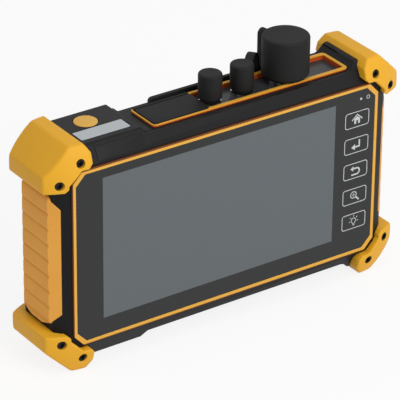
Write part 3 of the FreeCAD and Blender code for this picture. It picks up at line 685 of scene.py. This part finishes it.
def stroke(path, width, closed=False):
    """Printed line: a flat bar carried along the path, whose edges are the path moved half a width
    to each side along the mean of its neighbours' normals."""
    path = np.array(path, float)
    if closed:
        ahead = np.roll(path, -1, 0) - np.roll(path, 1, 0)
    else:
        ahead = np.gradient(path, axis=0)
    normal = np.stack([-ahead[:, 1], ahead[:, 0]], 1)
    normal /= np.linalg.norm(normal, axis=1)[:, None]
    left = path + normal * width / 2
    right = path - normal * width / 2
    rings = np.stack([
        np.column_stack([edge[:, 0], np.full(len(edge), y), edge[:, 1]])
        for edge, y in ((left, INK_FRONT), (right, INK_FRONT), (right, GLASS_FRONT), (left, GLASS_FRONT))
    ], 1)
    faces = ring_faces(len(path), 4, not closed)
    if closed:
        last = (len(path) - 1) * 4
        faces += [[last + j, last + (j + 1) % 4, (j + 1) % 4, j] for j in range(4)]
    return rings.reshape(-1, 3), faces


def patch(corners):
    """Printed area with the given outline."""
    flat = np.array(corners, float)
    points = np.concatenate([np.column_stack([flat[:, 0], np.full(len(flat), y), flat[:, 1]])
                             for y in (INK_FRONT, GLASS_FRONT)])
    return points, ring_faces(2, len(flat))


def circle(a, b, radius, start=0.0, end=2 * np.pi, steps=28):
    """Points of an arc; a whole circle leaves its last point out."""
    turn = np.linspace(start, end, steps, endpoint=abs(end - start) < 6.28)
    return np.stack([a + radius * np.cos(turn), b + radius * np.sin(turn)], 1)


def house():
    """Roof over a block with a doorway."""
    walls = [
        (-2.0, -2.6), (-0.7, -2.6), (-0.7, -0.6), (0.7, -0.6), (0.7, -2.6), (2.0, -2.6), (2.0, 0.3),
        (0, 2.0), (-2.0, 0.3),
    ]
    return [stroke([(-3.6, -0.2), (0.0, 3.0), (3.6, -0.2)], 0.75), patch(walls)]


def enter_arrow():
    """Line down and to the left, with a head."""
    return [patch([(2.6, 3.0), (1.6, 3.0), (1.6, -0.6), (-0.9, -0.6), (-0.9, -1.6), (2.6, -1.6)]),
            patch([(-0.9, 0.7), (-3.6, -1.1), (-0.9, -2.9)])]


def back_arrow():
    """Line that turns back on itself, with a head."""
    bend = circle(0.9, -0.5, 1.9, np.pi / 2, -np.pi / 2, 18)
    line = np.concatenate([[(-1.6, 1.4)], bend, [(-2.8, -2.4)]])
    return [stroke(line, 0.95), patch([(-1.4, 3.0), (-3.6, 1.4), (-1.4, -0.2)])]


def magnifier():
    """Ring with a handle and a plus sign."""
    return [stroke(circle(-0.7, 0.7, 2.0), 0.5, True), stroke([(0.8, -0.8), (3.1, -3.0)], 0.95),
            stroke([(-1.8, 0.7), (0.4, 0.7)], 0.45), stroke([(-0.7, -0.4), (-0.7, 1.8)], 0.45)]


def lamp():
    """Bulb with its cap and five rays."""
    neck = [(-0.75, -1.9), (0.75, -1.9)]
    globe = circle(0.0, 0.3, 1.55, -0.29 * np.pi, 1.29 * np.pi, 22)
    signs = [stroke(np.concatenate([[(0.75, -1.7)], globe, [(-0.75, -1.7)]]), 0.42),
             stroke(neck, 0.42), stroke([(-0.7, -2.6), (0.7, -2.6)], 0.5)]
    for turn in np.radians([-10, 40, 90, 140, 190]):
        ray = np.array([np.cos(turn), np.sin(turn)])
        signs.append(stroke([ray * 2.4 + (0, 0.3), ray * 3.4 + (0, 0.3)], 0.4))
    return signs


ink = Finish("key_ink", (196, 199, 199), 0.6)
ink.mottle((180, 184, 184), ink.noise(3))
SIGNS = (("home", house), ("enter", enter_arrow), ("back", back_arrow), ("zoom", magnifier), ("lamp", lamp))
for row, (sign_name, sign) in enumerate(SIGNS):
    middle = np.array([KEY_X, KEY_FIRST_Z - row * KEY_PITCH])
    half = np.array(KEY_SIZE) / 2
    frame_line = outline([(middle[0] + a * half[0], middle[1] + b * half[1], KEY_CORNER)
                          for a, b in ((-1, -1), (1, -1), (1, 1), (-1, 1))], 6)
    parts = [stroke(frame_line, INK_LINE, True)]
    parts += [(p + (middle[0], 0, middle[1]), f) for p, f in sign()]
    points, faces = [], []
    for part_points, part_faces in parts:
        first = sum(len(p) for p in points)
        faces += [[first + i for i in face] for face in part_faces]
        points.append(part_points)
    key = plant("touch_key_" + sign_name, np.concatenate(points), faces)
    dress(key, "housing", "seal_line", ink.material)

for lamp_name, made in (("power_lamp", patch(circle(LAMP_X[0], LAMP_Z, 0.75))),
                        ("charge_lamp", stroke(circle(LAMP_X[1], LAMP_Z, 1.0), 0.4, True))):
    dress(plant(lamp_name, *made), "housing", "seal_line", ink.material)

# ---- name plate seat ------------------------------------------------------------------
# A low seat for a name plate, left bare, on the sloping edge of the case above the screen:
# a rectangle with rounded corners, moulded in one with the case and in its black plastic.

PLATE_X = (-84.0, -54.0)
PLATE_Z = (55.0, 62.6)
SLOPE_FOOT = (-20.0, 54.1)
SLOPE_LEAN = 0.52
PLATE_CORNER = 0.6
PLATE_PROUD = 0.25
PLATE_SUNK = 0.4
PLATE_RIM = 0.2


def slope(x, z):
    """Depth of the sloping edge of the case at a height; it's the same at every x."""
    return SLOPE_FOOT[0] + SLOPE_LEAN * (z - SLOPE_FOOT[1])


plate_loop = outline([(PLATE_X[a], PLATE_Z[b], PLATE_CORNER) for a, b in ((0, 0), (1, 0), (1, 1), (0, 1))])
plate_rings = pad_rings(plate_loop, lambda x, z: slope(x, z) - PLATE_PROUD,
                        lambda x, z: slope(x, z) + PLATE_SUNK, PLATE_RIM)[:, :, [0, 2, 1]]
plate = plant("name_plate_seat", plate_rings.reshape(-1, 3), ring_faces(*plate_rings.shape[:2]))
dress(plate, "housing", "case_plastic", case_plastic)

# ---- power button and identity strip --------------------------------------------------
# A domed rubber button in the raised left end of the case, and beside it a strip of
# brushed aluminium, bonded flush in its recess.

BUTTON_AT = (-74.0, 8.7)
BUTTON_RADIUS = 6.7


def turned(x, y, corners, steps=64):
    """Surface of revolution about an upright axis; the closed profile lists (radius, height, round)."""
    loop = outline(corners, 6)
    turn = np.linspace(0, 2 * np.pi, steps, endpoint=False)
    rings = np.stack([x + loop[:, :1] * np.cos(turn), y + loop[:, :1] * np.sin(turn),
                      np.broadcast_to(loop[:, 1:], (len(loop), steps))], -1)
    count = len(loop)
    faces = ring_faces(count, steps, False)
    last = (count - 1) * steps
    j = np.arange(steps)
    k = (j + 1) % steps
    faces += np.stack([last + j, last + k, k, j], -1).tolist()
    return rings.reshape(-1, 3), faces


button_rubber = rubber("button_rubber", (220, 172, 78), (208, 160, 70), 0.5)
button = [(0, 60.6), (2.0, 60.6), (2.0, 61.0), (8.1, 61.0), (8.1, 61.95), (BUTTON_RADIUS, 61.95),
          (BUTTON_RADIUS, 64.75, 0.5), (4.0, 65.0, 3.0), (0, 65.05)]
dome = plant("power_button_dome", *turned(*BUTTON_AT, button))
dress(dome, "power_button", "orange_rubber", button_rubber, "power_button")

strip_metal = Finish("strip_metal", (170, 175, 178), 0.3, Metallic=0.4)
strip_metal.wear(0.25, 0.42, 12)
strip_metal.grain(0.4, 0.004, 2.0, (0.02, 1, 1))
eased("identity_strip", 0.12, "strip", strip_metal.material)

# ---- connector bay --------------------------------------------------------------------
# An orange frame round a black deck. Under the flap, on the left, the deck drops into a
# well with three sockets; on the right stand two optical ports and the power meter port.

# Below this depth under its face, the bay frame's walls are painted a deeper red as shade.
TRIM_SHADED_BELOW = 0.7


def bay_frame():
    """Orange rubber whose walls below the face carry painted shade, a deeper red."""
    finish = Finish("frame_rubber", (214, 156, 48), 0.45, Specular_IOR_Level=0.3)
    _, _, z = finish.axes()
    # Painted shade: the walls below the face are a deeper red.
    finish.mottle((196, 78, 22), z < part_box("port_bay_trim")[1].z - TRIM_SHADED_BELOW * MM)
    return finish.material


eased("port_bay_trim", 0.3, "trim_plastic", bay_frame())
deck_plastic = moulded_plastic("deck_plastic", (50, 52, 55), 0.3)
paint("port_deck", deck_plastic)
paint("socket_well", deck_plastic)


def plated(name, colour, roughness, streak):
    """Turned and plated metal, with fine rings left by the tool."""
    finish = Finish(name, colour, roughness, Metallic=1.0)
    finish.wear(roughness - 0.05, roughness + 0.08, 3)
    finish.grain(streak, 0.004, 2.0, (0.05, 0.05, 1))
    return finish.material


nickel = plated("nickel", (190, 192, 194), 0.22, 0.3)
steel = plated("steel", (170, 170, 168), 0.3, 0.4)
for node in ("otdr_port", "fault_light_port", "power_meter_port", "power_meter_guide"):
    paint(node, nickel)
for node in ("usb_socket", "charging_socket", "card_slot", "stand_pin"):
    paint(node, steel)
ceramic = Finish("ceramic", (236, 234, 226), 0.25)
ceramic.mottle((226, 224, 214), ceramic.noise(2))
for node in ("otdr_port_sleeve", "fault_light_port_sleeve"):
    paint(node, ceramic.material)

# ---- caps and tethers -----------------------------------------------------------------
# Soft black caps close the three ports. Each hangs by a flat strap from a common rail that
# is held behind the bay, so that no cap is lost when its port is in use.

PORT_Y = -1.0
STRAP_WIDE = 5.0
STRAP_THICK = 1.2
RAIL_MIDDLE = 14.1
RAIL_TOP = 64.0
LUG_HALF = (2.6, 2.2)
LUG_HIGH = 3.0
LUG_ROOT = 1.7
CAP_TAPER = 1.8
CAP_EDGE = 1.3
# name, axis, radius, foot, top, inner radius, inner top, lug (x, y, z), rail end x, arch top
CAPS = (
    ("otdr", 0.3, 6.75, 61.2, 77.5, 4.2, 71.4, (4.0, 6.6, 68.0), 9.5, 71.5),
    ("vfl", 21.5, 6.75, 61.2, 77.5, 3.8, 71.4, (28.0, 3.4, 66.0), 41.0, 76.0),
    ("meter", 50.9, 13.5, 62.8, 87.0, 10.8, 80.0, (50.0, 15.2, 80.0), 45.0, 85.5),
)


def strap(lug, rail_x, arch_top):
    """Flat band from the rail up, over a half circle and down to the lug: a rounded rectangle carried
    along that path, which lies in the upright plane through both ends."""
    start = np.array([rail_x, RAIL_MIDDLE])
    span = np.array(lug[:2]) - start
    reach = np.linalg.norm(span)
    along = span / reach
    across = np.array([-along[1], along[0]])
    radius = reach / 2
    level = arch_top - STRAP_THICK / 2 - radius
    turn = np.linspace(np.pi, 0, 25)
    rise = np.linspace(RAIL_TOP - 1, level, 8, endpoint=False)
    up = np.column_stack([np.zeros(8), rise, np.full(8, np.pi)])
    bend = np.column_stack([radius + radius * np.cos(turn), level + radius * np.sin(turn), turn])
    end = min(level, lug[2]) - 0.5
    down = np.column_stack([np.full(8, reach), np.linspace(level, end, 9)[1:], np.zeros(8)])
    path = np.concatenate([up, bend, down])
    section = outline([(a * STRAP_THICK / 2, b * STRAP_WIDE / 2, 0.35)
                       for a, b in ((-1, -1), (1, -1), (1, 1), (-1, 1))], 4)
    outward = np.column_stack([np.cos(path[:, 2]), np.sin(path[:, 2])])
    a = path[:, None, 0] + outward[:, None, 0] * section[None, :, 0]
    z = path[:, None, 1] + outward[:, None, 1] * section[None, :, 0]
    b = np.broadcast_to(section[None, :, 1], a.shape)
    x = start[0] + along[0] * a + across[0] * b
    y = start[1] + along[1] * a + across[1] * b
    return np.stack([x, y, z], -1)


cap_rubber = rubber("cap_rubber", (17, 17, 17), (22, 22, 22), 0.68)
eased("tether_rail", 0.4, "black_rubber", cap_rubber)
for name, x, radius, foot, top, inner_radius, inner_top, lug, rail_x, arch_top in CAPS:
    profile = [
        (inner_radius, foot), ((radius + inner_radius) / 2, foot), (radius, foot + CAP_TAPER, 0.5),
        (radius, top, CAP_EDGE), (radius * 0.7, top, 2.0), (0, top - 0.15), (0, inner_top),
        (inner_radius, inner_top),
    ]
    points, faces = turned(x, PORT_Y, profile)
    root = -LUG_HALF[1] - LUG_ROOT
    lug_loop = outline([(lug[0] + a * LUG_HALF[0], lug[1] + b, 0.6)
                        for a, b in ((-1, root), (1, root), (1, LUG_HALF[1]), (-1, LUG_HALF[1]))])
    lug_rings = pad_rings(lug_loop, flat_at(lug[2] - LUG_HIGH), flat_at(lug[2]), 0.3)
    faces += ring_faces(*lug_rings.shape[:2], first=len(points))
    points = np.concatenate([points, lug_rings.reshape(-1, 3)])
    cup = plant(name + "_cap_cup", points, faces)
    dress(cup, name + "_cap", "black_rubber", cap_rubber, name + "_cap")
    band = strap(lug, rail_x, arch_top)
    tether = plant(name + "_cap_strap", band.reshape(-1, 3), ring_faces(*band.shape[:2]))
    dress(tether, None, "black_rubber", cap_rubber, name + "_cap_tether")
    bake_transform(tether, "housing", name + "_cap",
             start=(rail_x * MM, RAIL_MIDDLE * MM, (RAIL_TOP + MIDDLE) * MM),
             end=(lug[0] * MM, lug[1] * MM, (RAIL_TOP + MIDDLE) * MM))

# ---- socket flap ----------------------------------------------------------------------
# A rubber door lies over the sockets and bends about its rear edge, which is held in the
# bay. Door and held edge each have a thin skin that laps over the rims beside them, and the
# narrow strip between the two skins is where the rubber bends.

COVER_X = (-43.1, -6.9)
FLAP_COVER = [(COVER_X[0], -11.5, 1.4), (COVER_X[1], -11.5, 1.4), (COVER_X[1], 8.0), (COVER_X[0], 8.0)]
HINGE_COVER = [(COVER_X[0], 8.9), (COVER_X[1], 8.9), (COVER_X[1], 10.9, 0.8), (COVER_X[0], 10.9, 0.8)]
FLAP_LOW = 62.3
FLAP_HIGH = 62.95
flap_rubber = rubber("flap_rubber", (9, 9, 9), (13, 13, 13), 0.66)
eased("port_flap", 0.3, "black_rubber", flap_rubber)
eased("port_flap_hinge", 0.3, "black_rubber", flap_rubber)
for name, corners, body, high in (("port_flap_cover", FLAP_COVER, "port_flap", FLAP_HIGH),
                                  ("port_flap_hinge_cover", HINGE_COVER, "housing", FLAP_HIGH - 0.1)):
    rings = pad_rings(outline(corners), flat_at(FLAP_LOW), flat_at(high), 0.25)
    cover = plant(name, rings.reshape(-1, 3), ring_faces(*rings.shape[:2]))
    dress(cover, body, "black_rubber", flap_rubber)

# ---- back -----------------------------------------------------------------------------
# A folding stand of black plastic turns on a steel pin in a recess of the rear shell. Two
# screws hold the battery door, and six more go through the shell into the front bezel.

eased("rear_stand", 0.4, "case_plastic", case_plastic)
eased("battery_door", 0.4, "case_plastic", case_plastic)
for node in ("battery_door_screws", "case_screws"):
    paint(node, screw_steel.material)

# ---- inside ---------------------------------------------------------------------------
# What the closed case hides: display panel, key board, frame, main board, optical module,
# battery and the switch under the power button.

board_green = Finish("board_green", (24, 74, 50), 0.45)
board_green.mottle((18, 62, 42), board_green.noise(5))
panel_black = Finish("panel_black", (28, 29, 31), 0.35)
panel_black.mottle((36, 37, 39), panel_black.noise(12))
sheet_alloy = plated("sheet_alloy", (186, 188, 190), 0.35, 0.5)
cell_wrap = Finish("cell_wrap", (52, 84, 132), 0.4)
cell_wrap.mottle((46, 76, 122), cell_wrap.noise(9))
for node, slot, material in (
        ("display_panel", "panel", panel_black.material), ("touch_key_board", "board", board_green.material),
        ("chassis_plate", "alu", sheet_alloy), ("main_board", "board", board_green.material),
        ("optical_module", "alu", sheet_alloy), ("battery_pack", "battery", cell_wrap.material),
        ("power_switch_board", "board", board_green.material), ("power_switch", "steel", steel)):
    paint(node, material)

# ---- setting --------------------------------------------------------------------------
# Standing on a white table under broad soft light, seen from the left and above with a
# long lens.

VIEW_TURN = math.radians(-34.836)
VIEW_RISE = math.radians(28.314)
VIEW_ROLL = math.radians(0.557)
VIEW_FAR = 1688.2
AIM_RIGHT = -4.07
AIM_UP = -1.40
LENS = 273.76

back = np.array([math.sin(VIEW_TURN) * math.cos(VIEW_RISE), -math.cos(VIEW_TURN) * math.cos(VIEW_RISE),
                 math.sin(VIEW_RISE)])
level_right = np.array([math.cos(VIEW_TURN), math.sin(VIEW_TURN), 0.0])
level_up = np.cross(back, level_right)
right = math.cos(VIEW_ROLL) * level_right + math.sin(VIEW_ROLL) * level_up
up = math.cos(VIEW_ROLL) * level_up - math.sin(VIEW_ROLL) * level_right
spot = (AIM_RIGHT * right + AIM_UP * up + VIEW_FAR * back + (0, 0, MIDDLE)) * MM
camera = bpy.data.objects.new("camera", bpy.data.cameras.new("camera"))
bpy.context.scene.collection.objects.link(camera)
stand_point = np.eye(4)
stand_point[:3, 0] = right
stand_point[:3, 1] = up
stand_point[:3, 2] = back
stand_point[:3, 3] = spot
camera.matrix_world = Matrix(stand_point.tolist())
camera.data.lens = LENS
camera.data.sensor_width = 36
camera.data.clip_start = 0.1
camera.data.clip_end = 20
bpy.context.scene.camera = camera
bpy.context.scene.view_settings.view_transform = "Standard"

TABLE_SEEN = 0.85
LOOKS = ("Is Camera Ray", "Is Glossy Ray", "Is Transmission Ray")


def table_finish():
    """White table: plain for the light and the shadows, and mostly pure white where the camera, a
    mirror or a clear piece looks at it."""
    finish = Finish("table_white", (243, 243, 243), 0.9)
    rays = finish.node("LightPath", {}, ()).socket.node.outputs
    camera_ray, mirror_ray, clear_ray = (Wire(finish, rays[kind]) for kind in LOOKS)
    looked_at = (camera_ray + mirror_ray + clear_ray) * TABLE_SEEN
    white = finish.node("Emission", {}, {"Strength": 1.0})
    plain = Wire(finish, finish.shader.outputs[0])
    seen = finish.node("MixShader", {}, {0: looked_at, 1: plain, 2: white})
    finish.tree.links.new(seen.socket, finish.tree.nodes["Material Output"].inputs[0])
    return finish.material


bpy.ops.mesh.primitive_plane_add(size=12, location=(0, 0, -0.0001))
floor = bpy.context.active_object
floor.name = "floor"
floor.data.materials.append(table_finish())
floor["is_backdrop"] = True

SKY_LIGHT = 0.5
world = bpy.data.worlds.new("studio")
bpy.context.scene.world = world
world.use_nodes = True
sky = world.node_tree
lights = sky.nodes["Background"]
lights.inputs["Color"].default_value = (1, 1, 1, 1)
lights.inputs["Strength"].default_value = SKY_LIGHT
backdrop = sky.nodes.new("ShaderNodeBackground")
backdrop.inputs["Color"].default_value = (1, 1, 1, 1)
rays = sky.nodes.new("ShaderNodeLightPath")
either = sky.nodes.new("ShaderNodeMixShader")
looks = rays.outputs[LOOKS[0]]
for kind in LOOKS[1:]:
    both = sky.nodes.new("ShaderNodeMath")
    both.operation = "MAXIMUM"
    sky.links.new(looks, both.inputs[0])
    sky.links.new(rays.outputs[kind], both.inputs[1])
    looks = both.outputs[0]
sky.links.new(looks, either.inputs[0])
sky.links.new(lights.outputs[0], either.inputs[1])
sky.links.new(backdrop.outputs[0], either.inputs[2])
sky.links.new(either.outputs[0], sky.nodes["World Output"].inputs[0])


def lamp_panel(name, turn, rise, far, size, power):
    """Broad soft lamp that looks at the middle of the body from a direction."""
    turn, rise = math.radians(turn), math.radians(rise)
    way = Vector((math.sin(turn) * math.cos(rise), -math.cos(turn) * math.cos(rise), math.sin(rise)))
    light = bpy.data.lights.new(name, "AREA")
    light.size = size
    light.energy = power
    holder = bpy.data.objects.new(name, light)
    holder.location = Vector((0, 0, MIDDLE * MM)) + way * far
    holder.rotation_mode = "QUATERNION"
    holder.rotation_quaternion = (-way).to_track_quat("-Z", "Y")
    bpy.context.scene.collection.objects.link(holder)
    holder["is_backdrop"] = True


lamp_panel("key", 8, 30, 1.6, 0.9, 13)
lamp_panel("top", -30, 75, 1.6, 0.9, 5)

low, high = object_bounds()
